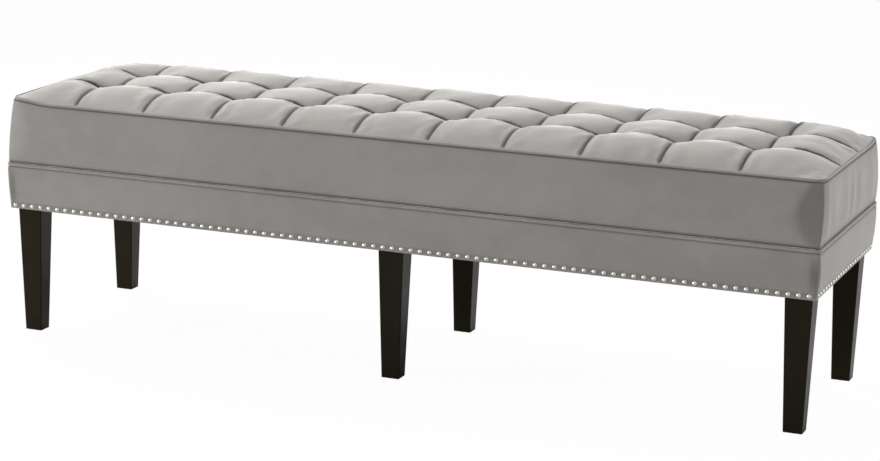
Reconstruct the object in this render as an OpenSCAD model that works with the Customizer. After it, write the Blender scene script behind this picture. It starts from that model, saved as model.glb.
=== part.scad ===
// Long upholstered bench: a biscuit tufted seat on a low rail frame, a nailed hem and six tapered legs.
// The origin is on the floor under the bench's middle: +X along its length, -Y its front, +Z up.
// Lengths are in millimetres.

/* [Overall] */
// Length over the base welt
bench_length = 1600; // [1400:10:1800]
// Depth over the base welt
bench_depth = 446; // [420:1:500]
// How far the top welt stands in from the base welt at the front and back
seat_inset = 16; // [8:0.5:24]

/* [Legs] */
// Length of a leg from its foot to the underside of the frame
leg_length = 248.5; // [180:0.5:320]
// Width of a leg at the top
leg_top_w = 50; // [44:1:56]
// Depth of a leg at the top
leg_top_d = 44; // [38:1:50]
// Width of a leg at the foot
leg_foot_w = 35; // [26:1:42]
// Depth of a leg at the foot
leg_foot_d = 31; // [26:1:38]
// Eased edge of a leg
leg_ease = 1.5; // [0.5:0.1:3]
// How far the outer legs stand in from the hem's ends
leg_inset_x = 5; // [5:0.5:12]
// How far the legs stand in from the hem's front and back
leg_inset_y = 15; // [12:0.5:24]
// Diameter of the glide under a foot
glide_d = 22; // [16:1:24]
// Thickness of the glide under a foot
glide_t = 1.5; // [1:0.1:3]
// Diameter of a glide's pin
glide_pin_d = 3; // [2:0.1:4]
// Length of a glide's pin
glide_pin_length = 14; // [8:1:20]
// Diameter of the bolt that joins a leg to its block
leg_bolt_d = 8; // [6:1:10]
// Length of that bolt inside the leg
leg_bolt_in_leg = 40; // [25:1:50]
// Length of that bolt above the leg
leg_bolt_above_leg = 48; // [46:1:54]

/* [Frame] */
// Thickness of every rail
rail_t = 18; // [15:1:18]
// Height of the outer rails
rail_height = 75; // [70:1:100]
// Height of the two light rails under the deck
mid_rail_height = 45; // [30:1:60]
// Length of a corner block along the bench
corner_block_w = 60; // [50:1:80]
// Length of a centre block along the bench
centre_block_w = 64; // [60:2:84]
// Depth of a block across the bench
block_d = 40; // [34:1:50]
// Height of a block
block_height = 45; // [40:1:46]
// Thickness of the plywood deck
deck_t = 12; // [9:1:18]

/* [Fasteners] */
// Diameter of the screws through the long rails
rail_screw_d = 5; // [4:0.1:6]
// Length of the screws through the long rails
rail_screw_length = 60; // [45:1:80]
// Height between the two screws of a rail joint
rail_screw_spread = 30; // [24:1:34]
// Diameter of the screws that hold the blocks
block_screw_d = 4.5; // [3.5:0.1:5]
// Length of the screws that hold the blocks
block_screw_length = 50; // [46:1:54]
// Diameter of the deck screws
deck_screw_d = 4; // [3:0.1:5]
// Length of the deck screws
deck_screw_length = 35; // [28:1:45]
// Spacing of the deck screws along the bench
deck_screw_pitch = 200; // [180:1:210]
// Outer diameter of a tee nut's flange
tee_flange_d = 17; // [14:0.5:17]
// Thickness of a tee nut's flange
tee_flange_t = 1.5; // [1:0.1:2]
// Outer diameter of a tee nut's barrel
tee_barrel_d = 10.5; // [9.5:0.1:12]
// Length of a tee nut's barrel
tee_barrel_length = 11; // [8:1:14]

/* [Seat] */
// Thickness of the foam block
foam_t = 100; // [80:1:110]
// Height of the boxing from the deck to the top welt
boxing_height = 118; // [105:1:130]
// How far the seat's crown stands above the top welt
crown_rise = 32; // [26:0.5:50]
// Distance from the welt over which the crown rises
crown_run = 75; // [50:1:110]
// Tufted cells along the bench
cells_x = 11; // [7:1:13]
// Tufted cells across the bench
cells_y = 3; // [2:1:4]
// How far the pleats lie below the middle of a cell
crease_drop = 7; // [0:0.5:8]
// Depth of the pleat's own fold
crease_depth = 4; // [2:0.5:8]
// How much further the cover is pulled down at a tuft
tuft_sink = 27; // [10:0.5:27]
// Thickness of the tufted cover
cover_t = 2; // [1:0.1:3]
// Thickness of the boxing
boxing_t = 2.5; // [1.5:0.1:4]
// How far the front and back boxing swells at mid height
boxing_swell = 5; // [0:0.5:8]
// How far the end boxing swells at mid height
end_swell = 2.5; // [0:0.5:2.5]
// How much rounder a boxing corner is at mid height
corner_swell = 5; // [0:0.5:12]
// How far the boxing's top edge stands in from the top welt
boxing_tuck_top = 1.5; // [0.5:0.1:2]
// How far the boxing's lower edge stands in from the base welt
boxing_tuck_base = 5.7; // [5:0.1:7]

/* [Welts] */
// Diameter of the top welt
top_welt_d = 5; // [4:0.1:6]
// Diameter of the base welt
base_welt_d = 6; // [4.5:0.1:6.5]
// Thickness of the tape that each welt is sewn to
tape_t = 1; // [0.6:0.1:1.4]
// Width of the tape of each welt
tape_w = 8; // [6:0.5:8]
// Corner radius over the top welt
top_corner_r = 17; // [16:1:40]

/* [Border] */
// Thickness of the border with its felt backing
border_t = 3; // [2:0.1:3.5]
// How far the base welt stands proud of the border
welt_stand = 2; // [1:0.1:3]
// How far the border draws in from the welt to the hem
border_taper = 3.5; // [0:0.1:6]
// Height of the flat band that carries the nails
hem_band = 14; // [12:1:20]
// Thickness of the border's turn under the rails
turn_t = 2; // [1:0.1:3]
// Width of the border's turn under the rails
turn_w = 4.5; // [2:0.1:4.5]
// Corner radius at the hem
hem_corner_r = 6; // [6:0.5:12]
// Spacing of the decorative nails
nail_pitch = 18.5; // [14:0.1:25]
// Diameter of a nail's head
nail_head_d = 9.5; // [6:0.1:11]
// Height of a nail's domed head
nail_head_h = 2.4; // [1.5:0.1:3.5]
// Height of the nail row above the hem
nail_row = 7; // [6:0.1:9]
// Width of a nail's square shank
nail_shank_w = 1.4; // [1:0.1:2]
// Length of a nail's shank
nail_shank_length = 10; // [6:0.5:13]

/* [Underside] */
// Thickness of the dust cover
dust_cover_t = 1; // [0.5:0.1:1.5]
// Spacing of the tacks that hold the dust cover
tack_pitch = 130; // [80:1:160]
// Diameter of a tack's head
tack_head_d = 6; // [5:0.1:8]
// Thickness of a tack's head
tack_head_t = 0.8; // [0.5:0.1:0.9]
// Length of a tack's shank
tack_length = 10; // [6:0.5:14]
// Diameter of the disc that anchors a tufting twine
anchor_d = 20; // [14:1:22]
// Thickness of that disc
anchor_t = 2; // [1:0.1:4]
// Diameter of the tufting twine
twine_d = 2; // [1:0.1:3]
// Diameter of the hole for a twine in the deck, the foam and the wadding
twine_hole_d = 8; // [6:0.5:10]
// Diameter of the knots of a twine
knot_d = 5; // [3.5:0.1:5.5]

/* [Hidden] */

// Smoothness of the round surfaces
$fn = 48;
// Clearance of soft pieces and of pieces that lie loosely against each other
soft_gap = 0.3;
// Clearance round the shank of a screw, bolt or nail
hole_gap = 0.2;
// How far a cut runs past the face it opens
overrun = 1;
// Length of the thin ends between which a leg tapers
leg_end_t = 1;
// The angle of half a corner, in degrees
half_corner = 45;

// Colours
leg_colour = [0.09, 0.08, 0.07];
glide_colour = [0.2, 0.2, 0.2];
bolt_colour = [0.65, 0.66, 0.68];
screw_colour = [0.8, 0.72, 0.45];
block_colour = [0.72, 0.58, 0.4];
rail_colour = [0.8, 0.66, 0.46];
deck_colour = [0.78, 0.62, 0.42];
foam_colour = [0.93, 0.88, 0.66];
wadding_colour = [0.95, 0.95, 0.95];
twine_colour = [0.9, 0.88, 0.8];
anchor_colour = [0.25, 0.25, 0.27];
cover_colour = [0.68, 0.66, 0.64];
boxing_colour = [0.62, 0.6, 0.58];
border_colour = [0.6, 0.58, 0.56];
welt_colour = [0.58, 0.56, 0.54];
nail_colour = [0.85, 0.85, 0.84];
dust_colour = [0.12, 0.12, 0.12];
tack_colour = [0.2, 0.22, 0.26];

// Heights of the stacked pieces, from the floor up
leg_top_z = glide_t + leg_length;
frame_z = leg_top_z + dust_cover_t;
hem_z = frame_z - turn_t;
deck_z = frame_z + rail_height;
seat_z = deck_z + deck_t;
base_welt_z = seat_z + tape_t - base_welt_d / 2;
top_welt_z = seat_z + boxing_height;
foam_top_z = seat_z + foam_t;

// The base outline: insets are measured from the base welt's outer face
base_half = [bench_length / 2, bench_depth / 2];
hem_inset = welt_stand + border_taper;
base_corner_r = hem_corner_r + hem_inset;
base_core = [base_half.x - base_corner_r, base_half.y - base_corner_r];
hem_half = [base_half.x - hem_inset, base_half.y - hem_inset];

// The rail frame inside the border
rail_inset = hem_inset + border_t + soft_gap;
frame_half = [base_half.x - rail_inset, base_half.y - rail_inset];
frame_corner_r = base_corner_r - rail_inset;
inner_half = [frame_half.x - rail_t, frame_half.y - rail_t];
deck_inset = base_welt_d + soft_gap;
deck_half = [base_half.x - deck_inset, base_half.y - deck_inset];
deck_corner_r = base_corner_r - deck_inset;
cross_rail_x = (centre_block_w + rail_t) / 2;

// The six legs: shares of their outermost places, left to right and front to back
leg_places_share = [[-1, -1], [0, -1], [1, -1], [-1, 1], [0, 1], [1, 1]];
leg_reach = [hem_half.x - leg_inset_x - leg_top_w / 2, hem_half.y - leg_inset_y - leg_top_d / 2];
leg_places = [for (s = leg_places_share) [s.x * leg_reach.x, s.y * leg_reach.y]];

// The seat outline: insets are measured from the top welt's outer face
seat_half = [base_half.x, base_half.y - seat_inset];
seat_core = [seat_half.x - top_corner_r, seat_half.y - top_corner_r];
cover_inset = top_welt_d + soft_gap;
cover_half = [seat_half.x - cover_inset, seat_half.y - cover_inset];
cover_corner_r = top_corner_r - cover_inset;
cover_rim_z = top_welt_z + tape_t / 2 + soft_gap + cover_t;

// The tufting grid
cell = [2 * seat_half.x / cells_x, 2 * seat_half.y / cells_y];
cells = [cells_x, cells_y];
tufts = [for (i = [1 : cells_x - 1]) for (j = [1 : cells_y - 1])
    [(i - cells_x / 2) * cell.x, (j - cells_y / 2) * cell.y]];
// Places of the cover's lines in one cell, as shares of the cell
line_shares = [0, 0.14, 0.5, 0.86];
// Distance from the cover's rim to its first line, where the wadding under it ends
rim_run = 10;
// How square the crown's corners are, and how pointed a tuft is
corner_power = 8;
tuft_power = 2.2;

// Foam and wadding
foam_half = [cover_half.x - rim_run, cover_half.y - rim_run];
foam_corner_r = cover_corner_r - rim_run;
boxing_low_z = seat_z + tape_t + soft_gap;
boxing_high_z = top_welt_z - top_welt_d / 2 - soft_gap;
// Steps of the boxing's swell, and of each half corner
boxing_steps = 6;
corner_steps = 4;

// The light rails under the deck pass between two columns of tufts: a place in cells from the middle
mid_rail_share = 2.75;
mid_rail_x = mid_rail_share * cell.x;

// Screw heads are twice as wide as their shanks, and their points are a shank long
head_share = 2;
point_share = 1;
// Place of the first deck screw, as a share of their spacing
first_screw_share = 0.65;
// Places of the screws in a corner block and in a centre block, as shares of its length
corner_screw_shares = [0.2, 0.5];
centre_screw_shares = [0.17, 0.83];
nail_z = hem_z + nail_row;
nail_pilot = nail_shank_w + 2 * hole_gap;

// A flat plate with round corners, standing on z
module rounded_plate(half, r, t) {
    linear_extrude(t) {
        square([2 * (half.x - r), 2 * half.y], center = true);
        square([2 * half.x, 2 * (half.y - r)], center = true);
        for (sx = [-1, 1], sy = [-1, 1])
            translate([sx * (half.x - r), sy * (half.y - r)]) circle(r);
    }
}

// A profile run along the front, with half a corner at each end
module front_run(core) {
    translate([0, -core.y, 0]) rotate([90, 0, -90])
        linear_extrude(2 * core.x, center = true) children();
    translate([core.x, -core.y, 0]) rotate([0, 0, -90])
        rotate_extrude(angle = half_corner) children();
    translate([-core.x, -core.y, 0]) rotate([0, 0, -90 - half_corner])
        rotate_extrude(angle = half_corner) children();
}

// The same along the right end
module right_run(core) {
    translate([core.x, 0, 0]) rotate([90, 0, 0])
        linear_extrude(2 * core.y, center = true) children();
    translate([core.x, core.y, 0]) rotate_extrude(angle = half_corner) children();
    translate([core.x, -core.y, 0]) rotate([0, 0, -half_corner])
        rotate_extrude(angle = half_corner) children();
}

// The same all round
module ring_run(core) {
    for (turn = [0, 180]) rotate([0, 0, turn]) {
        front_run(core) children();
        right_run(core) children();
    }
}

// A countersunk screw, its head at the origin and its point downwards; gap makes its hole
module screw(d, length, gap = 0) {
    r = d / 2 + gap;
    head_r = head_share * d / 2 + gap;
    rotate_extrude() polygon([
        [0, gap], [head_r, gap], [head_r, 0], [r, r - head_r],
        [r, point_share * d - length - gap], [0, -length - gap]
    ]);
}

// Places of deck screws over the long rails and the end rails
deck_screw_count = floor((frame_half.x - rail_t) / deck_screw_pitch);
deck_screw_places = concat(
    [for (i = [0 : deck_screw_count - 1], sx = [-1, 1], sy = [-1, 1])
        [sx * (i + first_screw_share) * deck_screw_pitch, sy * (frame_half.y - rail_t / 2)]],
    [for (sx = [-1, 1], sy = [-1, 1])
        [sx * (frame_half.x - rail_t / 2), sy * cell.y / 2]]
);

module deck_screw_set(gap = 0) {
    for (p = deck_screw_places)
        translate([p.x, p.y, seat_z]) screw(deck_screw_d, deck_screw_length, gap);
}

// Places of screws through a long rail into the ends of the other rails, in x and z
joint_z = frame_z + rail_height / 2;
mid_rail_z = deck_z - mid_rail_height;
rail_screw_places = concat(
    [for (x = [frame_half.x - rail_t / 2, cross_rail_x], sx = [-1, 1], sz = [-1, 1])
        [sx * x, joint_z + sz * rail_screw_spread / 2]],
    [for (sx = [-1, 1]) [sx * mid_rail_x, mid_rail_z + mid_rail_height / 2]]
);

module rail_screw_row(gap = 0) {
    for (p = rail_screw_places)
        translate([p.x, -frame_half.y, p[1]]) rotate([90, 0, 0])
            screw(rail_screw_d, rail_screw_length, gap);
}

// Places of screws through the blocks into the long rail, in x
block_screw_xs = concat(
    [for (sx = [-1, 1], f = corner_screw_shares) sx * (inner_half.x - (1 - f) * corner_block_w)],
    [for (f = centre_screw_shares) (f - 1 / 2) * centre_block_w]
);

module block_screw_row(gap = 0) {
    for (x = block_screw_xs)
        translate([x, block_d - inner_half.y, frame_z + block_height / 2]) rotate([-90, 0, 0])
            screw(block_screw_d, block_screw_length, gap);
}

// The bolt of one leg, standing on its lower end; gap makes its hole
module leg_bolt(gap = 0) {
    translate([0, 0, leg_top_z - leg_bolt_in_leg - gap])
        cylinder(h = leg_bolt_in_leg + leg_bolt_above_leg + gap, d = leg_bolt_d + 2 * gap);
}

module tee_nut() {
    top = frame_z + block_height;
    difference() {
        union() {
            translate([0, 0, top]) cylinder(h = tee_flange_t, d = tee_flange_d);
            translate([0, 0, top - tee_barrel_length])
                cylinder(h = tee_barrel_length, d = tee_barrel_d);
        }
        translate([0, 0, top - tee_barrel_length - overrun])
            cylinder(h = tee_barrel_length + tee_flange_t + 2 * overrun, d = leg_bolt_d + 2 * hole_gap);
    }
}

// A glide: its disc on the floor and its pin up in the leg; gap makes the pin's hole
module glide_pin(gap = 0) {
    translate([0, 0, glide_t - gap])
        cylinder(h = glide_pin_length + 2 * gap, d = glide_pin_d + 2 * gap);
}

module glide() {
    cylinder(h = glide_t, d = glide_d);
    glide_pin();
}

// One end of a leg: a thin slab with its four edges eased
module leg_end(w, d) {
    a = [w / 2, d / 2];
    e = leg_ease;
    linear_extrude(leg_end_t) polygon([
        [a.x - e, -a.y], [a.x, e - a.y], [a.x, a.y - e], [a.x - e, a.y],
        [e - a.x, a.y], [-a.x, a.y - e], [-a.x, e - a.y], [e - a.x, -a.y]
    ]);
}

module leg(place) {
    translate([place.x, place.y, 0]) difference() {
        hull() {
            translate([0, 0, glide_t]) leg_end(leg_foot_w, leg_foot_d);
            translate([0, 0, leg_top_z - leg_end_t]) leg_end(leg_top_w, leg_top_d);
        }
        leg_bolt(hole_gap);
        glide_pin(hole_gap);
    }
}

// A block in the frame above one leg, drawn for the front; it is cut for its screws, bolt and tee nut
module block(x, w, leg_x) {
    difference() {
        translate([x - w / 2, -inner_half.y, frame_z]) cube([w, block_d, block_height]);
        block_screw_row(hole_gap);
        translate([leg_x, -leg_reach.y, 0]) {
            leg_bolt(hole_gap);
            translate([0, 0, frame_z + block_height - tee_barrel_length - hole_gap])
                cylinder(h = tee_barrel_length + overrun, d = tee_barrel_d + 2 * hole_gap);
        }
    }
}

corner_block_x = inner_half.x - corner_block_w / 2;

// The nails of one row, and their pilot holes: places count from the middle of the row
function nail_row_places(half) =
    let (count = floor(2 * (half - hem_corner_r) / nail_pitch) + 1)
    [for (i = [0 : count - 1]) (i - (count - 1) / 2) * nail_pitch];

nail_sphere_r = (pow(nail_head_d / 2, 2) + pow(nail_head_h, 2)) / (2 * nail_head_h);

module nail() {
    intersection() {
        translate([0, 0, nail_head_h - nail_sphere_r]) sphere(nail_sphere_r);
        cylinder(h = nail_head_h + overrun, d = nail_head_d + overrun);
    }
    translate([-nail_shank_w / 2, -nail_shank_w / 2, -nail_shank_length])
        cube([nail_shank_w, nail_shank_w, nail_shank_length]);
}

module nail_hole() {
    translate([-nail_pilot / 2, -nail_pilot / 2, -nail_shank_length - hole_gap])
        cube([nail_pilot, nail_pilot, nail_shank_length + hole_gap + overrun]);
}

module front_nail_row() {
    for (x = nail_row_places(hem_half.x))
        translate([x, -hem_half.y, nail_z]) rotate([90, 0, 0]) children();
}

module right_nail_row(places = nail_row_places(hem_half.y)) {
    for (y = places)
        translate([hem_half.x, y, nail_z]) rotate([0, 90, 0]) children();
}

// The end nails that go into the ends of the front rail
front_corner_nails = [for (y = nail_row_places(hem_half.y)) if (y < -inner_half.y) y];
end_rail_nails = [for (y = nail_row_places(hem_half.y)) if (abs(y) < inner_half.y) y];

// Tacks under the front rail and under the right end rail
tack_xs = let (n = floor(2 * (leg_reach.x - leg_top_w) / tack_pitch))
    [for (i = [0 : n]) if (abs((i - n / 2) * tack_pitch) > leg_top_w) (i - n / 2) * tack_pitch];
tack_ys = [for (s = [-1, 1]) s * cell.y / 2];

module tack(gap = 0) {
    if (gap == 0) translate([0, 0, -tack_head_t]) cylinder(h = tack_head_t, d = tack_head_d);
    side = nail_shank_w + 2 * gap;
    translate([-side / 2, -side / 2, -gap]) cube([side, side, tack_length + 2 * gap]);
}

module front_tacks(gap = 0) {
    for (x = tack_xs) translate([x, rail_t / 2 - frame_half.y, leg_top_z]) tack(gap);
}

module right_tacks(gap = 0) {
    for (y = tack_ys) translate([frame_half.x - rail_t / 2, y, leg_top_z]) tack(gap);
}

// The front rail runs the whole length, and the other rails butt against it
module long_rail() {
    difference() {
        intersection() {
            translate([0, 0, frame_z]) rounded_plate(frame_half, frame_corner_r, rail_height);
            translate([-frame_half.x, -frame_half.y, frame_z])
                cube([2 * frame_half.x, rail_t, rail_height]);
        }
        rail_screw_row(hole_gap);
        block_screw_row(hole_gap);
        deck_screw_set(hole_gap);
        front_nail_row() nail_hole();
        for (flip = [0, 1]) mirror([flip, 0, 0]) right_nail_row(front_corner_nails) nail_hole();
        front_tacks(hole_gap);
    }
}

module end_rail() {
    difference() {
        translate([inner_half.x, -inner_half.y, frame_z]) cube([rail_t, 2 * inner_half.y, rail_height]);
        for (flip = [0, 1]) mirror([0, flip, 0]) rail_screw_row(hole_gap);
        deck_screw_set(hole_gap);
        right_nail_row(end_rail_nails) nail_hole();
        right_tacks(hole_gap);
    }
}

// A rail across the inside of the frame
module inner_rail(x, z, height) {
    difference() {
        translate([x - rail_t / 2, -inner_half.y, z]) cube([rail_t, 2 * inner_half.y, height]);
        for (flip = [0, 1]) mirror([0, flip, 0]) rail_screw_row(hole_gap);
    }
}

module twine_holes(z, height) {
    for (p = tufts) translate([p.x, p.y, z]) cylinder(h = height, d = twine_hole_d);
}

module deck() {
    difference() {
        translate([0, 0, deck_z]) rounded_plate(deck_half, deck_corner_r, deck_t);
        twine_holes(deck_z - overrun, deck_t + 2 * overrun);
        deck_screw_set(hole_gap);
    }
}

module foam() {
    difference() {
        translate([0, 0, seat_z]) rounded_plate(foam_half, foam_corner_r, foam_t);
        twine_holes(seat_z - overrun, foam_t + 2 * overrun);
    }
}

// The crown. pull is 1 on a pleat line and 0 in the middle of a cell, or towards the welt in an edge cell
function pull(p, axis) =
    let (
        q = p / cell[axis] + cells[axis] / 2,
        i = min(cells[axis] - 1, max(0, floor(q))),
        s = 2 * (q - i) - 1
    )
    (i == 0 && s < 0) || (i == cells[axis] - 1 && s > 0) ? 0 : abs(s);

function fold(s) = max(0, 1 - (1 - s) / (2 * line_shares[1]));

function rise(p) =
    let (
        a = max(0, 1 - (cover_half.x - abs(p.x)) / crown_run),
        b = max(0, 1 - (cover_half.y - abs(p.y)) / crown_run),
        w = min(1, pow(pow(a, corner_power) + pow(b, corner_power), 1 / corner_power))
    )
    sqrt(1 - w * w);

function crown_z(p) =
    let (
        sx = pull(p.x, 0),
        sy = pull(p.y, 1),
        pleat = crease_drop * (1 - (1 - sx * sx) * (1 - sy * sy)) + crease_depth * max(fold(sx), fold(sy))
    )
    cover_rim_z + rise(p) * (crown_rise - pleat - tuft_sink * pow(sx * sy, tuft_power));

// Lines of the cover's grid along one axis
function cover_lines(axis) =
    let (n = cells[axis], half = cover_half[axis])
    concat(
        [for (i = [0 : n - 1], j = [0 : 3])
            i == 0 && j == 0 ? -half :
            i == 0 && j == 1 ? rim_run - half :
            i == n - 1 && j == 3 ? half - rim_run :
            (i - n / 2 + line_shares[j]) * cell[axis]],
        [half]
    );

// Pulls a point of the grid in to the cover's rounded corner, so that square rings turn round
function in_corner(p) =
    let (
        core = [cover_half.x - cover_corner_r, cover_half.y - cover_corner_r],
        over = [abs(p.x) - core.x, abs(p.y) - core.y],
        k = max(over) / norm(over)
    )
    min(over) > 0 ? [sign(p.x) * (core.x + k * over.x), sign(p.y) * (core.y + k * over.y)] : p;

function slice(list, low, high) = [for (i = [low : high]) list[i]];

// A skin between two grids of points of the same size, closed round its edge. Each square is two
// triangles, whose shared side runs up from its first point where lean is true
module skin_between(outer, inner, rows, lean = function(i, j) true) {
    cols = len(outer) / rows;
    n = len(outer);
    function square_of(i, j) = [i * rows + j, (i + 1) * rows + j, (i + 1) * rows + j + 1, i * rows + j + 1];
    face = [for (i = [0 : cols - 2], j = [0 : rows - 2])
        let (q = square_of(i, j))
        each lean(i, j)
            ? [[q[0], q[2], q[1]], [q[0], q[3], q[2]]]
            : [[q[0], q[3], q[1]], [q[1], q[3], q[2]]]];
    back = [for (t = face) [n + t[2], n + t[1], n + t[0]]];
    rim = concat(
        [for (i = [0 : cols - 2]) i * rows],
        [for (j = [0 : rows - 2]) (cols - 1) * rows + j],
        [for (i = [cols - 1 : -1 : 1]) i * rows + rows - 1],
        [for (j = [rows - 1 : -1 : 1]) j]
    );
    m = len(rim);
    sides = [for (k = [0 : m - 1])
        let (a = rim[k], b = rim[(k + 1) % m])
        each [[a, b, n + b], [a, n + b, n + a]]];
    polyhedron(concat(outer, inner), concat(face, back, sides), convexity = 10);
}

// A quilted slab between the crown lowered by drop_top and a floor: the crown lowered by drop_low, or a
// level. Its outer grid lines are left out by trim, and its triangles lean to the middles of the cells
module quilt(trim, drop_top, drop_low, low_z) {
    xs = cover_lines(0);
    ys = cover_lines(1);
    gx = slice(xs, trim, len(xs) - 1 - trim);
    gy = slice(ys, trim, len(ys) - 1 - trim);
    plan = [for (x = gx, y = gy) in_corner([x, y])];
    top = [for (p = plan) [p.x, p.y, crown_z(p) - drop_top]];
    low = [for (p = plan) [p.x, p.y, low_z == undef ? crown_z(p) - drop_low : low_z]];
    skin_between(top, low, len(gy), function(i, j) ((i + trim) % 4 < 2) == ((j + trim) % 4 < 2));
}

module wadding_top() {
    difference() {
        quilt(1, cover_t + soft_gap, undef, foam_top_z);
        twine_holes(foam_top_z - overrun, crown_rise + boxing_height);
    }
}

// A point at an angle and a radius round a corner's centre
function corner_point(core, core_sign, angle, r, z) =
    [core_sign.x * core.x + r * cos(angle), core_sign.y * core.y + r * sin(angle), z];

// Half sizes and corner radius of the boxing's outer face, t of the way up
function mix(a, b, t) = a + (b - a) * t;
function boxing_half(t) = [
    mix(base_half.x - boxing_tuck_base, seat_half.x - boxing_tuck_top, t) + end_swell * sin(180 * t),
    mix(base_half.y - boxing_tuck_base, seat_half.y - boxing_tuck_top, t) + boxing_swell * sin(180 * t)
];
function boxing_r(t) =
    mix(base_corner_r - boxing_tuck_base, top_corner_r - boxing_tuck_top, t) + corner_swell * sin(180 * t);
function boxing_point(core_sign, angle, t, inset) =
    let (half = boxing_half(t), r = boxing_r(t), z = mix(boxing_low_z, boxing_high_z, t))
    corner_point([half.x - r, half.y - r], core_sign, angle, r - inset, z);

// Corners and angles along one panel, as signs of the corner and degrees
function panel_stations(from, to, middle) = concat(
    [for (k = [0 : corner_steps]) [from, middle + half_corner * (k / corner_steps - 1)]],
    [for (k = [0 : corner_steps]) [to, middle + half_corner * k / corner_steps]]
);

module boxing_panel(from, to, middle) {
    stations = panel_stations(from, to, middle);
    rows = boxing_steps + 1;
    outer = [for (s = stations, k = [0 : boxing_steps])
        boxing_point(s[0], s[1], k / boxing_steps, 0)];
    inner = [for (s = stations, k = [0 : boxing_steps])
        boxing_point(s[0], s[1], k / boxing_steps, boxing_t)];
    skin_between(outer, inner, rows);
}

// The wadding round the foam: its outer face follows the boxing, and its inner face the foam
module wadding_ring() {
    stations = concat(
        panel_stations([-1, -1], [1, -1], -90), panel_stations([1, -1], [1, 1], 0),
        panel_stations([1, 1], [-1, 1], 90), panel_stations([-1, 1], [-1, -1], 180)
    );
    // The panels share their end stations, so each panel's last one is left out
    per_panel = 2 * (corner_steps + 1);
    ring = [for (i = [0 : len(stations) - 1]) if (i % per_panel != per_panel - 1) stations[i]];
    rows = boxing_steps + 1;
    m = len(ring);
    wall_core = [foam_half.x - foam_corner_r, foam_half.y - foam_corner_r];
    wall_r = foam_corner_r + soft_gap;
    outer = [for (s = ring, k = [0 : boxing_steps])
        boxing_point(s[0], s[1], k / boxing_steps, boxing_t + soft_gap)];
    inner = [for (s = ring, z = [boxing_low_z, boxing_high_z])
        corner_point(wall_core, s[0], s[1], wall_r, z)];
    n = len(outer);
    faces = [for (i = [0 : m - 1])
        let (a = i * rows, b = ((i + 1) % m) * rows, c = n + 2 * i, d = n + 2 * ((i + 1) % m))
        each concat(
            [for (j = [0 : rows - 2]) each [[a + j, b + j + 1, b + j], [a + j, a + j + 1, b + j + 1]]],
            [[c, d, d + 1], [c, d + 1, c + 1], [a, b, d], [a, d, c]],
            [[a + rows - 1, d + 1, b + rows - 1], [a + rows - 1, c + 1, d + 1]]
        )];
    polyhedron(concat(outer, inner), faces, convexity = 6);
}

// Sections of the two welts with their tapes, from the corner's centre outwards
module top_welt_section() {
    translate([top_corner_r - top_welt_d / 2, top_welt_z]) circle(d = top_welt_d);
    translate([top_corner_r - top_welt_d / 2 - tape_w, top_welt_z - tape_t / 2]) square([tape_w, tape_t]);
}

module base_welt_section() {
    translate([base_corner_r - base_welt_d / 2, base_welt_z]) circle(d = base_welt_d);
    translate([base_corner_r - base_welt_d / 2 - tape_w, seat_z]) square([tape_w, tape_t]);
}

// Section of the border: its outer face, its flat hem band, its turn under the rails and its inner face
module border_section() {
    high_z = base_welt_z - base_welt_d / 2 - soft_gap;
    band_z = hem_z + hem_band;
    top_r = base_corner_r - welt_stand;
    polygon([
        [hem_corner_r - turn_w, hem_z], [hem_corner_r, hem_z], [hem_corner_r, band_z], [top_r, high_z],
        [top_r - border_t, high_z], [hem_corner_r - border_t, band_z],
        [hem_corner_r - border_t, frame_z], [hem_corner_r - turn_w, frame_z]
    ]);
}

module border_front() {
    difference() {
        front_run(base_core) border_section();
        front_nail_row() nail_hole();
    }
}

module border_right() {
    difference() {
        right_run(base_core) border_section();
        right_nail_row() nail_hole();
    }
}

// The dust cover lies inside the border's turn, between the legs and the rails
module dust_sheet() {
    half = [hem_half.x - turn_w - soft_gap, hem_half.y - turn_w - soft_gap];
    difference() {
        translate([0, 0, leg_top_z])
            rounded_plate(half, hem_corner_r - turn_w, dust_cover_t);
        for (p = leg_places) translate([p.x, p.y, 0]) leg_bolt(hole_gap);
        for (turn = [0, 180]) rotate([0, 0, turn]) {
            front_tacks(hole_gap);
            right_tacks(hole_gap);
        }
    }
}

// A tufting twine: a knot under its anchor, and a knot under the cover
tuft_z = crown_z(tufts[0]);
module twine() {
    low_z = deck_z - anchor_t - soft_gap - knot_d / 2;
    high_z = tuft_z - cover_t - soft_gap - knot_d / 2;
    translate([0, 0, low_z]) {
        cylinder(h = high_z - low_z, d = twine_d);
        sphere(d = knot_d);
    }
    translate([0, 0, high_z]) sphere(d = knot_d);
}

module anchor() {
    difference() {
        translate([0, 0, deck_z - anchor_t]) cylinder(h = anchor_t, d = anchor_d);
        translate([0, 0, deck_z - anchor_t - overrun])
            cylinder(h = anchor_t + 2 * overrun, d = twine_d + 2 * hole_gap);
    }
}

// The named pieces
module front_left_leg() color(leg_colour) leg(leg_places[0]);
module front_centre_leg() color(leg_colour) leg(leg_places[1]);
module front_right_leg() color(leg_colour) leg(leg_places[2]);
module rear_left_leg() color(leg_colour) leg(leg_places[3]);
module rear_centre_leg() color(leg_colour) leg(leg_places[4]);
module rear_right_leg() color(leg_colour) leg(leg_places[5]);

module foot_glides() color(glide_colour)
    for (p = leg_places) translate([p.x, p.y, 0]) glide();
module leg_bolts() color(bolt_colour)
    for (p = leg_places) translate([p.x, p.y, 0]) leg_bolt();
module tee_nuts() color(screw_colour)
    for (p = leg_places) translate([p.x, p.y, 0]) tee_nut();

module front_left_block() color(block_colour) block(-corner_block_x, corner_block_w, -leg_reach.x);
module front_centre_block() color(block_colour) block(0, centre_block_w, 0);
module front_right_block() color(block_colour) block(corner_block_x, corner_block_w, leg_reach.x);
module rear_left_block() mirror([0, 1, 0]) front_left_block();
module rear_centre_block() mirror([0, 1, 0]) front_centre_block();
module rear_right_block() mirror([0, 1, 0]) front_right_block();

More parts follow.
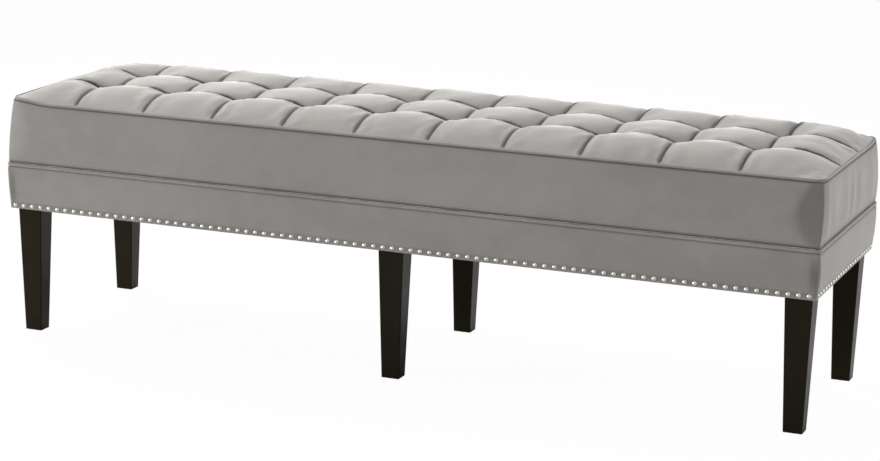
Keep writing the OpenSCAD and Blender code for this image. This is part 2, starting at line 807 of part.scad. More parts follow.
module front_rail() color(rail_colour) long_rail();
module rear_rail() mirror([0, 1, 0]) front_rail();
module right_end_rail() color(rail_colour) end_rail();
module left_end_rail() mirror([1, 0, 0]) right_end_rail();
module left_cross_rail() color(rail_colour) inner_rail(-cross_rail_x, frame_z, rail_height);
module right_cross_rail() color(rail_colour) inner_rail(cross_rail_x, frame_z, rail_height);
module left_mid_rail() color(rail_colour) inner_rail(-mid_rail_x, mid_rail_z, mid_rail_height);
module right_mid_rail() color(rail_colour) inner_rail(mid_rail_x, mid_rail_z, mid_rail_height);

module rail_screws() color(screw_colour)
    for (flip = [0, 1]) mirror([0, flip, 0]) rail_screw_row();
module block_screws() color(screw_colour)
    for (flip = [0, 1]) mirror([0, flip, 0]) block_screw_row();
module deck_screws() color(screw_colour) deck_screw_set();

module seat_deck() color(deck_colour) deck();
module seat_foam() color(foam_colour) foam();
module side_wadding() color(wadding_colour) wadding_ring();
module top_wadding() color(wadding_colour) wadding_top();
module tufted_cover() color(cover_colour) quilt(0, 0, cover_t, undef);
module tuft_twines() color(twine_colour)
    for (p = tufts) translate([p.x, p.y, 0]) twine();
module tuft_anchors() color(anchor_colour)
    for (p = tufts) translate([p.x, p.y, 0]) anchor();

module front_boxing() color(boxing_colour) boxing_panel([-1, -1], [1, -1], -90);
module right_boxing() color(boxing_colour) boxing_panel([1, -1], [1, 1], 0);
module rear_boxing() color(boxing_colour) boxing_panel([1, 1], [-1, 1], 90);
module left_boxing() color(boxing_colour) boxing_panel([-1, 1], [-1, -1], 180);
module top_welt() color(welt_colour) ring_run(seat_core) top_welt_section();
module base_welt() color(welt_colour) ring_run(base_core) base_welt_section();

module front_border() color(border_colour) border_front();
module rear_border() rotate([0, 0, 180]) front_border();
module right_border() color(border_colour) border_right();
module left_border() rotate([0, 0, 180]) right_border();

module front_nails() color(nail_colour) front_nail_row() nail();
module rear_nails() rotate([0, 0, 180]) front_nails();
module right_nails() color(nail_colour) right_nail_row() nail();
module left_nails() rotate([0, 0, 180]) right_nails();

module dust_cover() color(dust_colour) dust_sheet();
module dust_cover_tacks() color(tack_colour)
    for (turn = [0, 180]) rotate([0, 0, turn]) {
        front_tacks();
        right_tacks();
    }

front_left_leg();
front_centre_leg();
front_right_leg();
rear_left_leg();
rear_centre_leg();
rear_right_leg();
foot_glides();
leg_bolts();
tee_nuts();
front_left_block();
front_centre_block();
front_right_block();
rear_left_block();
rear_centre_block();
rear_right_block();
front_rail();
rear_rail();
left_end_rail();
right_end_rail();
left_cross_rail();
right_cross_rail();
left_mid_rail();
right_mid_rail();
rail_screws();
block_screws();
deck_screws();
seat_deck();
seat_foam();
side_wadding();
top_wadding();
tufted_cover();
tuft_twines();
tuft_anchors();
front_boxing();
rear_boxing();
left_boxing();
right_boxing();
top_welt();
base_welt();
front_border();
rear_border();
left_border();
right_border();
front_nails();
rear_nails();
left_nails();
right_nails();
dust_cover();
dust_cover_tacks();
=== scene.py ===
from math import cos, pi, radians, sin

import bpy
import numpy as np
from mathutils import Matrix, Vector


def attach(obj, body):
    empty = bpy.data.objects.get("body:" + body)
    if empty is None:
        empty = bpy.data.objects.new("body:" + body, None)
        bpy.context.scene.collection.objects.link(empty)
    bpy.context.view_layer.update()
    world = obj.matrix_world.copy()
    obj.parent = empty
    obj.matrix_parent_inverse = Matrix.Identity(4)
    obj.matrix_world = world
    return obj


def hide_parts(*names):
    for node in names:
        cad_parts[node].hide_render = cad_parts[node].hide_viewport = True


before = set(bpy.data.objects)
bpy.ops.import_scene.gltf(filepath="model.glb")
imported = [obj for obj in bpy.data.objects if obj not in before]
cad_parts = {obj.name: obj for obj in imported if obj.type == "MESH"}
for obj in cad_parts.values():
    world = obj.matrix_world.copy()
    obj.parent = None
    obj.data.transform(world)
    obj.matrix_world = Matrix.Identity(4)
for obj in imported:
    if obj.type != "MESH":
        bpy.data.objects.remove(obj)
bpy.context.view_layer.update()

# The bench in a long upholstered row: everything below follows it as an upholsterer's shop puts it together.
# Points are written in millimetres, with the origin on the floor under the bench's middle, +X to its right
# end, -Y to its front and +Z up. They become metres where a mesh is made.

# The camera stands in front of the bench and to its right, about chest high, and is turned by a hair.
# The picture is 880 by 461 pixels, and its long lens is 2467 of them.
cam_yaw = radians(21.918)
cam_pitch = radians(13.076)
cam_roll = radians(-1.200)
cam_place = Vector((1.7242, -4.2469, 1.3076))
picture_width = 880
lens_in_pixels = 2466.8
forward = Vector((-sin(cam_yaw) * cos(cam_pitch), cos(cam_yaw) * cos(cam_pitch), -sin(cam_pitch)))
level = Vector((cos(cam_yaw), sin(cam_yaw), 0))
below = forward.cross(level)
right = cos(cam_roll) * level + sin(cam_roll) * below
up = sin(cam_roll) * level - cos(cam_roll) * below
camera = bpy.data.objects.new("camera", bpy.data.cameras.new("camera"))
camera.data.sensor_fit = "HORIZONTAL"
camera.data.sensor_width = 36
camera.data.lens = lens_in_pixels * camera.data.sensor_width / picture_width
camera.data.clip_end = 60
turned = Matrix((right, up, -forward)).transposed()
camera.matrix_world = Matrix.Translation(cam_place) @ turned.to_4x4()
bpy.context.collection.objects.link(camera)
bpy.context.scene.camera = camera


# The studio: a pale floor under soft lamps. The first finish and the first mesh are the floor's, so the
# tools that all of them are made with are here.
class Strand:
    """A value or colour in a finish: sums with it add Math nodes, and node() adds any other node."""

    def __init__(self, socket):
        self.socket = socket

    def node(self, kind, settings, inputs, output=0):
        tree = self.socket.id_data
        made_node = tree.nodes.new("ShaderNode" + kind)
        for name, value in settings.items():
            if name == "stops":
                ramp = made_node.color_ramp.elements
                while len(ramp) < len(value):
                    ramp.new(1.0)
                for stop, (place, tone) in zip(ramp, value):
                    stop.position = place
                    stop.color = tone
            else:
                setattr(made_node, name, value)
        for name, value in inputs.items():
            if isinstance(value, Strand):
                tree.links.new(value.socket, made_node.inputs[name])
            else:
                made_node.inputs[name].default_value = value
        return Strand(made_node.outputs[output])

    def math(self, operation, first, second=0.0):
        return self.node("Math", {"operation": operation}, {0: first, 1: second})

    def __add__(self, other):
        return self.math("ADD", self, other)

    def __radd__(self, other):
        return self.math("ADD", other, self)

    def __sub__(self, other):
        return self.math("SUBTRACT", self, other)

    def __rsub__(self, other):
        return self.math("SUBTRACT", other, self)

    def __mul__(self, other):
        return self.math("MULTIPLY", self, other)

    def __rmul__(self, other):
        return self.math("MULTIPLY", other, self)

    def clamped(self, low, high):
        """0 below low, 1 above high, and smooth between them."""
        steps = {"From Min": low, "From Max": high, "Value": self}
        return self.node("MapRange", {"interpolation_type": "SMOOTHSTEP"}, steps)

    def noise(self, scale, detail=3.0, rough=0.5):
        """A noise value about 0.5, with this strand as its place."""
        inputs = {"Vector": self, "Scale": scale, "Detail": detail, "Roughness": rough}
        return self.node("TexNoise", {}, inputs)

    def stretched(self, x, y, z):
        return self.node("VectorMath", {"operation": "MULTIPLY"}, {0: self, 1: (x, y, z)})

    def tone(self, dark, light):
        """A colour between dark at 0 and light at 1."""
        return self.node("Mix", {"data_type": "RGBA"}, {0: self, 6: (*dark, 1), 7: (*light, 1)}, 2)


def finish(name, **sockets):
    """A new material: its principled shader with these values, and where a point is on the object."""
    material = bpy.data.materials.new(name)
    material.use_nodes = True
    shader = material.node_tree.nodes["Principled BSDF"]
    for socket, value in sockets.items():
        shader.inputs[socket.replace("_", " ")].default_value = value
    place = material.node_tree.nodes.new("ShaderNodeTexCoord").outputs["Object"]
    return material, shader, Strand(place)


def feed(shader, **links):
    for socket, value in links.items():
        shader.id_data.links.new(value.socket, shader.inputs[socket.replace("_", " ")])


def made(name, points, faces, material, smooth=True):
    """An object from points in millimetres."""
    mesh = bpy.data.meshes.new(name)
    mesh.from_pydata((np.asarray(points, float) / 1000).tolist(), [], faces)
    mesh.update()
    if smooth:
        mesh.shade_smooth()
    mesh.materials.append(material)
    piece = bpy.data.objects.new(name, mesh)
    bpy.context.collection.objects.link(piece)
    return piece


bpy.context.scene.view_settings.view_transform = "Standard"
floor_half = 9000
floor_glow = 0.97
floor_white, floor_shader, place = finish("floor_white", Roughness=0.9)
mottle = place.noise(3.0)
feed(floor_shader, Base_Color=mottle.tone((0.80, 0.80, 0.80), (0.82, 0.82, 0.82)))
paper = Strand(floor_shader.outputs[0])
seen = paper.node("LightPath", {}, {}, 0)
glow = paper.node("Emission", {}, {"Color": (1, 1, 1, 1), "Strength": 1.0})
mixed = paper.node("MixShader", {}, {0: seen * floor_glow, 1: paper, 2: glow})
floor_white.node_tree.links.new(
    mixed.socket, floor_white.node_tree.nodes["Material Output"].inputs["Surface"]
)
corners = [(-floor_half, -floor_half, 0), (floor_half, -floor_half, 0), (floor_half, floor_half, 0),
           (-floor_half, floor_half, 0)]
floor = made("floor", corners, [(0, 1, 2, 3)], floor_white, smooth=False)

world = bpy.data.worlds.new("studio")
bpy.context.scene.world = world
world.use_nodes = True
sky = world.node_tree.nodes["Background"]
sky.inputs["Color"].default_value = (1, 1, 1, 1)
path = world.node_tree.nodes.new("ShaderNodeLightPath")
plain = Strand(path.outputs["Is Camera Ray"]) + Strand(path.outputs["Is Glossy Ray"])
plain = (plain + Strand(path.outputs["Is Transmission Ray"])).clamped(0.0, 1.0)
ambient = 0.16
world.node_tree.links.new((plain * (1 - ambient) + ambient).socket, sky.inputs["Strength"])


def lamp(name, at, to, width, height, power):
    """A softbox of that many watts, in metres, that looks from one point to another."""
    light = bpy.data.lights.new(name, "AREA")
    light.shape = "RECTANGLE"
    light.size = width
    light.size_y = height
    light.energy = power
    box = bpy.data.objects.new(name, light)
    box.location = at
    box.rotation_euler = (Vector(to) - Vector(at)).to_track_quat("-Z", "Y").to_euler()
    bpy.context.collection.objects.link(box)


lamp("softbox_top", (-2.2, 1.2, 2.6), (0, 0, 0.4), 2.2, 1.6, 115)
lamp("softbox_over", (1.2, 0.2, 3.2), (0.4, 0, 0.4), 2.6, 2.0, 38)
lamp("softbox_left", (-7.0, -4.6, 2.0), (0, 0, 0.35), 3.0, 2.4, 520)
lamp("softbox_right", (3.6, 1.0, 1.4), (0.6, 0, 0.35), 1.4, 1.8, 52)


# The six legs are cut from solid hardwood: square, tapered to the foot, with eased edges. They are
# stained near black and lacquered, so the grain shows only as fine lines in the gloss.
def bumped(height, depth, strength=1.0):
    """A normal from a height: depth is how deep a height of 1 is, in metres."""
    return height.node("Bump", {}, {"Height": height, "Distance": depth, "Strength": strength})


def dress(material, *nodes):
    """Gives this material to nodes whose shape is already right."""
    for node in nodes:
        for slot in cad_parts[node].material_slots:
            slot.material = material


leg_black, shader, place = finish(
    "leg_black",
    Coat_Roughness=0.12,
    Coat_IOR=1.2,
    Specular_IOR_Level=0.10,
    Specular_Tint=(1.0, 0.86, 0.62, 1),
)
grain = place.stretched(1, 1, 0.06).noise(420, 5, 0.6)
pores = place.stretched(1, 1, 0.02).noise(1400, 2).clamped(0.60, 0.72)
wear = place.noise(14, 4)
feed(
    shader,
    Base_Color=(grain * 0.6 + wear * 0.4).tone((0.0060, 0.0048, 0.0028), (0.0150, 0.0120, 0.0072)),
    Roughness=0.26 + 0.16 * wear,
    Coat_Weight=0.01 + 0.03 * grain,
    Normal=bumped(grain * 0.5 - pores, 0.00008, 0.6),
)
legs = [f"{row}_{place_name}_leg" for row in ("front", "rear") for place_name in ("left", "centre", "right")]
dress(leg_black, *legs)

# Under each foot is a glide of grey nylon: a small round disc with its pin moulded on. The pin is knocked
# into the end grain, and the bench stands on the discs.
glide_grey, shader, place = finish("glide_grey", Roughness=0.5)
scuffs = place.stretched(1, 4, 1).noise(900, 3)
feed(
    shader,
    Base_Color=scuffs.tone((0.035, 0.035, 0.036), (0.07, 0.07, 0.072)),
    Roughness=0.42 + 0.2 * scuffs,
    Normal=bumped(scuffs, 0.00004),
)
dress(glide_grey, "foot_glides")

# A leg bolt is a hanger bolt of zinc plated steel. Its lower end is screwed into the leg, and its upper end
# goes through the block, where a tee nut of the same steel takes it.
zinc, shader, place = finish("zinc", Metallic=1.0)
dull = place.noise(300, 3)
feed(
    shader,
    Base_Color=dull.tone((0.50, 0.51, 0.53), (0.68, 0.69, 0.71)),
    Roughness=0.30 + 0.2 * dull,
    Normal=bumped(dull, 0.00002),
)
dress(zinc, "leg_bolts", "tee_nuts")

# The frame is planed pine: front and rear rails the whole length, end rails between them, two cross rails
# beside the centre legs and two light ones under the deck, with a block above every leg.
pine, shader, place = finish("pine", Roughness=0.6)
wander = place.noise(3.0, 2)
rings = place.node(
    "TexWave",
    {"wave_type": "BANDS", "bands_direction": "Z"},
    {"Vector": place.stretched(0.15, 0.6, 1), "Scale": 34.0, "Distortion": 5.0, "Detail": 2.0},
    1,
)
fibre = place.stretched(0.04, 1, 1).noise(900, 3)
feed(
    shader,
    Base_Color=(rings * 0.55 + fibre * 0.25 + wander * 0.2).tone((0.62, 0.42, 0.22), (0.79, 0.61, 0.38)),
    Roughness=0.5 + 0.2 * fibre,
    Normal=bumped(rings * 0.4 + fibre * 0.6, 0.00015),
)
dress(
    pine,
    "front_rail", "rear_rail", "left_end_rail", "right_end_rail",
    "left_cross_rail", "right_cross_rail", "left_mid_rail", "right_mid_rail",
    "front_left_block", "front_centre_block", "front_right_block",
    "rear_left_block", "rear_centre_block", "rear_right_block",
)

# Rails, blocks and deck are held together with countersunk wood screws of yellow plated steel. Their heads
# are driven in level with the wood.
yellow_steel, shader, place = finish("yellow_steel", Metallic=1.0)
tint = place.noise(500, 2)
feed(
    shader,
    Base_Color=tint.tone((0.70, 0.55, 0.27), (0.82, 0.70, 0.46)),
    Roughness=0.28 + 0.18 * tint,
    Normal=bumped(tint, 0.00002),
)
dress(yellow_steel, "rail_screws", "block_screws", "deck_screws")

# The deck is birch plywood, screwed down on the rails. Its edge shows the plies, and a hole lets each
# tufting twine through.
plywood, shader, place = finish("plywood", Roughness=0.6)
up_it = place.node("SeparateXYZ", {}, {0: place}, 2)
ply = 0.0015
plies = up_it.math("PINGPONG", up_it, ply) * (1 / ply)
face_grain = place.stretched(0.08, 1, 1).noise(260, 4)
feed(
    shader,
    Base_Color=(plies * 0.35 + face_grain * 0.65).tone((0.58, 0.42, 0.25), (0.80, 0.66, 0.46)),
    Roughness=0.5 + 0.2 * face_grain,
    Normal=bumped(plies * 0.4 + face_grain, 0.0001),
)
dress(plywood, "seat_deck")

# The seat is a block of cut polyurethane foam on the deck, drilled at each tuft for its twine. Its upper
# edges are sliced off round so that the cover crowns over them.
seat_core = np.array([777.4, 183.7])
foam_half = np.array([784.7, 191.7])
foam_z = 338.3, 438.0
foam_round = 14.0
foam_drop = foam_round * 0.6
pad_gap = 0.4
cell = np.array([2 * 800.0 / 11, 2 * 207.0 / 3])
cells = np.array([11, 3])
tufts = [
    ((i - cells[0] / 2) * cell[0], (j - cells[1] / 2) * cell[1])
    for i in range(1, cells[0])
    for j in range(1, cells[1])
]


def pulled_in(x, y):
    """Turns the square corners of a grid on the seat into round ones."""
    over = np.stack([np.maximum(np.abs(x) - seat_core[0], 0), np.maximum(np.abs(y) - seat_core[1], 0)])
    share = np.max(over, 0) / np.maximum(np.hypot(over[0], over[1]), 1e-9)
    cut = np.where(np.min(over, 0) > 0, share, 1.0)
    return (
        np.sign(x) * (np.minimum(np.abs(x), seat_core[0]) + over[0] * cut),
        np.sign(y) * (np.minimum(np.abs(y), seat_core[1]) + over[1] * cut),
    )


def ruled(half, pitch, count, near, edge_steps):
    """Grid lines across one direction of the seat: close at the tufts and at the edge."""
    lines = {0.0}
    for k in range(1, count):
        centre = (k - count / 2) * pitch
        lines.update(round(centre + s * d, 4) for s in (-1, 1) for d in near)
        lines.add(round(centre, 4))
    lines.update(round(s * (half - d), 4) for s in (-1, 1) for d in edge_steps)
    return np.array(sorted(line for line in lines if abs(line) <= half + 1e-6))


twine_hole_r = 4.0


def lattice(rows, cols, first=0, flip=False, closed=False):
    """The four-sided faces of a grid of points, numbered row by row from first."""
    faces = []
    for i in range(rows - 1):
        for j in range(cols if closed else cols - 1):
            a = first + i * cols + j
            b = first + i * cols + (j + 1) % cols
            face = (a, b, b + cols, a + cols)
            faces.append(face[::-1] if flip else face)
    return faces


def drilled(name, lines_x, lines_y, top, low, holes, hole_r, material):
    """A pad or sheet between two heights, with an eight sided hole round each of these places."""
    x, y = np.meshgrid(lines_x, lines_y, indexing="xy")
    px, py = pulled_in(x, y)
    rows, cols = x.shape
    tiny = 0.01
    gone = np.zeros(x.shape, bool)
    for tx, ty in holes:
        ring = (np.abs(x - tx) < hole_r + tiny) & (np.abs(y - ty) < hole_r + tiny)
        across = np.hypot(x - tx, y - ty)
        fit = np.where(across > tiny, hole_r / np.maximum(across, tiny), 1)
        px = np.where(ring, tx + (x - tx) * fit, px)
        py = np.where(ring, ty + (y - ty) * fit, py)
        gone |= (np.abs(x - tx) < tiny) & (np.abs(y - ty) < tiny)
    up_points = np.stack([px, py, top(x, y)], -1).reshape(-1, 3)
    low_points = np.stack([px, py, low(x, y)], -1).reshape(-1, 3)
    count = rows * cols
    kept = [f for f in lattice(rows, cols) if not gone.reshape(-1)[list(f)].any()]
    faces = kept + [tuple(v + count for v in f[::-1]) for f in kept]
    # An edge that only one face has is on a rim, and there a wall joins top and underside.
    sides = {}
    for f in kept:
        for a, b in zip(f, f[1:] + f[:1]):
            if sides.pop((b, a), None) is None:
                sides[(a, b)] = True
    faces += [(b, a, a + count, b + count) for a, b in sides]
    used = sorted({v for f in faces for v in f})
    place_of = {v: k for k, v in enumerate(used)}
    points = np.concatenate([up_points, low_points])[used]
    return made(name, points, [tuple(place_of[v] for v in f) for f in faces], material)


def settle(piece, slot, *nodes):
    """The piece rides on the bench and stands for these nodes, which it hides. slot is not used."""
    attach(piece, "root")
    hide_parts(*nodes)


def rounding(x, y, half, run):
    """0 inside, rising to 1 at the pad's edge within run of it."""
    a = np.clip(1 - (half[0] - np.abs(x)) / run, 0, 1)
    b = np.clip(1 - (half[1] - np.abs(y)) / run, 0, 1)
    return np.minimum(1, np.hypot(a, b))


def foam_top(x, y):
    drop = 1 - np.sqrt(np.maximum(0, 1 - rounding(x, y, foam_half, foam_round) ** 2))
    return foam_z[1] - foam_drop * drop


foam_yellow, shader, place = finish("foam_yellow", Roughness=0.95, Subsurface_Weight=0.1)
pore = place.node("TexVoronoi", {}, {"Vector": place, "Scale": 700.0})
patch = place.noise(16, 3)
feed(
    shader,
    Base_Color=(pore * 0.6 + patch * 0.4).tone((0.62, 0.55, 0.33), (0.86, 0.80, 0.58)),
    Normal=bumped(pore, 0.0006),
)
near_hole = (twine_hole_r, 12.0, 36.0)
edge_lines = (0.0, 1.0, 2.5, 5.0, 9.0, 14.0, 22.0, 40.0)
foam_x = ruled(foam_half[0], cell[0], cells[0], near_hole, edge_lines)
foam_y = ruled(foam_half[1], cell[1], cells[1], near_hole, edge_lines)
foam = drilled(
    "foam_block", foam_x, foam_y, foam_top, lambda x, y: np.full(x.shape, foam_z[0]),
    tufts, twine_hole_r, foam_yellow,
)
settle(foam, "foam", "seat_foam")

# The cover is one piece of velvet over the whole top, eleven cells by three. At each cell corner a twine
# pulls it down, and between the tufts it is folded into pleats whose lips lie over a groove with painted
# shade along it. Small wrinkles run from the pleats: they are those of a cloth that is pressed up
# between them.
cover_half = np.array([795.4, 201.7])
cover_low_z = 457.4
crown = 33.4
back_run = 80.0
front_run = 85.0
front_fall = 2.3
# Of these pairs, the first is for the left end and the second for the right one.
end_run = 80.0, 105.0
end_fall = 1.6, 1.9
end_step = 4.0, 1.8
left_lift = 7.0
left_back_lift = 2.5
corner_lift = 6.0
corner_lift_at = 800, 206
corner_lift_r = 32
puff = 8.0
tuft_dip = 24.0
front_tuft_dip = 4.5
dip_fall = 1.8
cover_t = 2.0
cover_least_t = 0.4
groove = 8.0
# A groove's run on its gentle and its steep side, for the pleats across the seat and for those along it.
across_fold = 3.0, 1.6
along_fold = 6.0, 2.4
lip = 1.8
far_lip = 0.3
shoulder_run = 34.0
back_hook = 7.0
pleat_near = (0.5, 1.0, 1.6, 2.3, 3.2, 4.4, 6.0, 8.5, 12.0, 17.0, 24.0, 33.0, 44.0, 57.0)
rim_lines = (0.0, 0.4, 1.0, 1.9, 3.1, 4.6, 6.5, 9.0, 12.5, 17.0, 23.0, 30.0, 38.0, 47.0, 57.0, 66.0)


def to_pleat(v, pitch, count):
    """The signed distance to the nearest pleat, and the share of the way to it from a cell's middle."""
    k = np.clip(np.round(v / pitch + count / 2), 1, count - 1)
    away = v - (k - count / 2) * pitch
    return away, np.clip(1 - np.abs(away) / (pitch / 2), 0, 1)


def smooth(v, low, high):
    """0 below low, 1 above high, and smooth between them."""
    t = np.clip((v - low) / (high - low), 0, 1)
    return t * t * (3 - 2 * t)


def lift(x, y):
    """How much higher the rim stands than at the front: the left end and the back right corner are full."""
    end = smooth(-x, 715, 795) * (left_lift + left_back_lift * smooth(y, -215, -40))
    from_corner = np.hypot(x - corner_lift_at[0], y - corner_lift_at[1])
    corner = np.exp(-(from_corner / corner_lift_r) ** 2)
    return end + corner_lift * corner


def crown_rise(x, y):
    """The share of the crown's height that the seat has at a place, from 0 at its rim to 1."""
    a = np.clip(1 - (cover_half[0] - np.abs(x)) / np.where(x < 0, *end_run), 0, 1)
    b = np.clip(1 - (cover_half[1] - np.abs(y)) / np.where(y < 0, front_run, back_run), 0, 1)
    return (1 - a ** np.where(x < 0, *end_fall)) * np.where(y < 0, 1 - b ** front_fall, np.sqrt(1 - b * b))


def bowed(x, y):
    """How far the pleats across the seat stray sideways between their tufts."""
    at_y = (-202, -150, -69, -34, 0, 34, 69, 100, 130, 202)
    to_right = (-6.5, -4, 0, 5, 7, 6, 1, 7, 13, 17)
    return np.interp(y, at_y, to_right) * smooth(cover_half[0] - np.abs(x), 0, 70)


def stuffing(x, y):
    """Where the wadding was laid a little thicker, or thinner, near the seat's ends."""
    spots = (
        (-728, 36, 8.0, 30),
        (-676, -95, -3.0, 18),
        (704, 140, -5.0, 28),
        (768, 150, 3.0, 20),
        (636, 130, 4.0, 20),
    )
    run_y = 30
    more = 0
    for spot_x, spot_y, height, run_x in spots:
        more = more + height * np.exp(-((x - spot_x) / run_x) ** 2 - ((y - spot_y) / run_y) ** 2)
    return more


def cover_form(x, y):
    """The height of the stuffed cover before its pleats are folded."""
    sx = to_pleat(x, cell[0], cells[0])[1]
    sy = to_pleat(y, cell[1], cells[1])[1]
    dip = tuft_dip + front_tuft_dip * smooth(-y, -10, 40)
    sag = puff * (1 - (1 - sx * sx) * (1 - sy * sy)) + dip * (sx * sy) ** dip_fall
    rise = crown_rise(x, y)
    return cover_low_z + lift(x, y) * (1 - rise) + rise * (crown - sag + stuffing(x, y))


def fold(across, gone, sides):
    """A pleat's own profile: a groove, steep on the side of the upper lip, and a lip on either side."""
    near = np.where(across < 0, np.exp(-(np.abs(across) / sides[0]) ** 1.2),
                    np.exp(-(np.abs(across) / sides[1]) ** 1.5))
    upper = lip * np.exp(-((across - 3.2) / 3.4) ** 2)
    lower = lip * far_lip * np.exp(-((across + 6) / 4) ** 2)
    return gone * (upper + lower - groove * near)


def shoulder(away, start):
    """The raised cloth behind a pleat's upper lip, from 0 to 1, at a signed distance from the pleat."""
    return smooth(away, start, start + 4.0) * np.exp(-(np.maximum(away, 0) / shoulder_run) ** 1.6)


def cover_height(x, y):
    """The height of the whole cover: the back row's hooks and the steps at both ends are shoulders."""
    ax = to_pleat(x, cell[0], cells[0])[0]
    ay = to_pleat(y, cell[1], cells[1])[0]
    from_end = cover_half[0] - np.abs(x)
    from_side = cover_half[1] - np.abs(y)
    rim = smooth(from_side, -2, 12)
    end = smooth(from_end, -2, 12)
    across = fold(ax, rim, across_fold)
    along = fold(-ay, end, along_fold)
    folds = np.where(np.minimum(across, along) < 0, np.minimum(across, along), (across + along) / 2)
    hook = back_hook * shoulder(ax, -1.5) * smooth(y, 92, 124) * smooth(from_side, 12, 48)
    near_end = smooth(np.abs(x), 680, 725)
    step = shoulder(ay, -1.0) * near_end * smooth(from_end, 3, 26) * np.where(x < 0, *end_step)
    return cover_form(x, y) + folds + wrinkled(x, y) + hook + step


def pleat_shade(x, y):
    """How deep painted shade lies in a pleat, from 0 to 1.

    The painted shade of the pleats across the seat is widest in the back row. That of the pleats along it
    fades just right of each tuft, but not in the outermost cells."""
    ax = to_pleat(x, cell[0], cells[0])[0]
    ay = to_pleat(y, cell[1], cells[1])[0]
    from_end = cover_half[0] - np.abs(x)
    from_side = cover_half[1] - np.abs(y)
    in_back_row = smooth(y, 95, 125)
    across_middle = 1.6 + 2.4 * in_back_row
    across_half = 2.3 + 1.5 * smooth(from_side, 0, 60) + 1.6 * in_back_row
    across = np.exp(-((ax - across_middle) / across_half) ** 4) * smooth(from_side, -1, 5)
    outermost = smooth(np.abs(x), 660, 700)
    along_middle = 2.6 - 0.6 * outermost
    along_half = 6.6 - 0.8 * outermost
    in_cell = (x / cell[0] + cells[0] / 2) % 1
    faded = 0.4 + 0.6 * np.maximum(smooth(in_cell, 0.25, 0.55), 1 - smooth(in_cell, 0.08, 0.2))
    strength = np.maximum(faded, smooth(np.abs(x), 655, 690))
    along = np.exp(-((ay - along_middle) / along_half) ** 4) * smooth(from_end, -1, 5) * strength
    return np.maximum(across, along)


def velvet(name, light, dark, shade_colour=(0.018, 0.016, 0.015)):
    """The velvet: short pile with a soft sheen, brushed a little unevenly, with painted shade down in
    creases and crevices where a piece marks it.
    """
    material, shader, place = finish(
        name,
        Sheen_Weight=0.75,
        Sheen_Roughness=0.32,
        Sheen_Tint=(0.95, 0.93, 0.91, 1),
        Specular_IOR_Level=0.2,
    )
    brushed = place.stretched(0.6, 1.0, 1.6).noise(5.5, 3, 0.55)
    cloud = place.noise(26, 3, 0.6)
    pile = place.noise(2600, 2, 0.7)
    mix = (brushed * 0.5 + cloud * 0.35 + pile * 0.15).clamped(0.3, 0.7)
    colour = mix.tone(dark, light)
    # Painted shade: the colour goes towards the dark shade colour by the mark that each piece carries.
    depth = place.node("Attribute", {"attribute_name": "crease"}, {}, 2)
    colour = colour.node("Mix", {"data_type": "RGBA"}, {0: depth * 0.95, 6: colour, 7: (*shade_colour, 1)}, 2)
    feed(
        shader,
        Base_Color=colour,
        Roughness=0.82 + 0.12 * cloud,
        Normal=bumped(pile * 0.5 + cloud * 0.5, 0.0004, 0.35),
    )
    return material


def shell(name, outer, inner, material):
    """A closed skin between two grids of points with the same rows and columns."""
    rows, cols = outer.shape[:2]
    count = rows * cols
    faces = lattice(rows, cols) + lattice(rows, cols, count, flip=True)
    rim = [j for j in range(cols)] + [i * cols + cols - 1 for i in range(1, rows)]
    rim += [(rows - 1) * cols + j for j in range(cols - 2, -1, -1)]
    rim += [i * cols for i in range(rows - 2, 0, -1)]
    for a, b in zip(rim, rim[1:] + rim[:1]):
        faces.append((b, a, a + count, b + count))
    return made(name, np.concatenate([outer.reshape(-1, 3), inner.reshape(-1, 3)]), faces, material)


def crease(piece, values):
    """Marks how much painted shade darkens the pile, from 0 to 1, at a piece's first points. The rest stay
    at 0.
    """
    unmarked = np.zeros(len(piece.data.vertices) - values.size)
    marks = np.concatenate([values.reshape(-1), unmarked])
    piece.data.attributes.new("crease", "FLOAT", "POINT").data.foreach_set("value", marks)


def drawn_cloth(squares, frames, slack, most):
    """The wrinkles of a cloth that is held at the rim and the pleats and pressed up from below.

    Returns its grid lines and, in millimetres, how far each crossing stands over the smooth form."""
    line_x, line_y = [
        (np.arange(n * k + 1) / k - n / 2) * pitch for n, k, pitch in zip(cells, squares, cell)
    ]
    gx, gy = np.meshgrid(np.clip(line_x, -cover_half[0], cover_half[0]),
                         np.clip(line_y, -cover_half[1], cover_half[1]), indexing="xy")
    unevenness = 0.3
    uneven = np.random.default_rng(11).normal(0, unevenness, gx.shape)
    start = cover_form(gx, gy)
    crossings = np.stack([gx, gy, start + uneven], -1).reshape(-1, 3)
    trial = made("cover_trial", crossings, lattice(*gx.shape), cover_velvet)
    near = np.minimum(np.abs(to_pleat(gx, cell[0], cells[0])[0]), np.abs(to_pleat(gy, cell[1], cells[1])[0]))
    near = np.minimum(near, np.minimum(cover_half[0] - np.abs(gx), cover_half[1] - np.abs(gy)))
    held = np.flatnonzero(near.reshape(-1) < 0.1).tolist()
    trial.vertex_groups.new(name="held").add(held, 1.0, "REPLACE")
    cloth = trial.modifiers.new("cloth", "CLOTH")
    cloth.settings.vertex_group_mass = "held"
    cloth.settings.quality = 6
    cloth.settings.bending_stiffness = 0.05
    cloth.settings.use_pressure = True
    cloth.settings.uniform_pressure_force = 4
    cloth.settings.shrink_min = -slack
    cloth.settings.effector_weights.gravity = 0
    for moment in range(1, frames + 1):
        bpy.context.scene.frame_set(moment)
    moved = trial.evaluated_get(bpy.context.evaluated_depsgraph_get()).data.vertices
    places = np.empty(3 * len(moved))
    moved.foreach_get("co", places)
    rise = places.reshape(-1, 3)[:, 2].reshape(gx.shape) * 1000 - start
    bpy.data.objects.remove(trial)
    bpy.context.scene.frame_set(1)
    plain = rise
    smoothings = 6
    for _ in range(smoothings):
        wide = np.pad(plain, 1, mode="edge")
        plain = (wide[:-2, 1:-1] + wide[2:, 1:-1] + wide[1:-1, :-2] + wide[1:-1, 2:] + 2 * plain) / 6
    return line_x, line_y, np.clip(rise - plain, -most, most) * smooth(near, 0, 12)


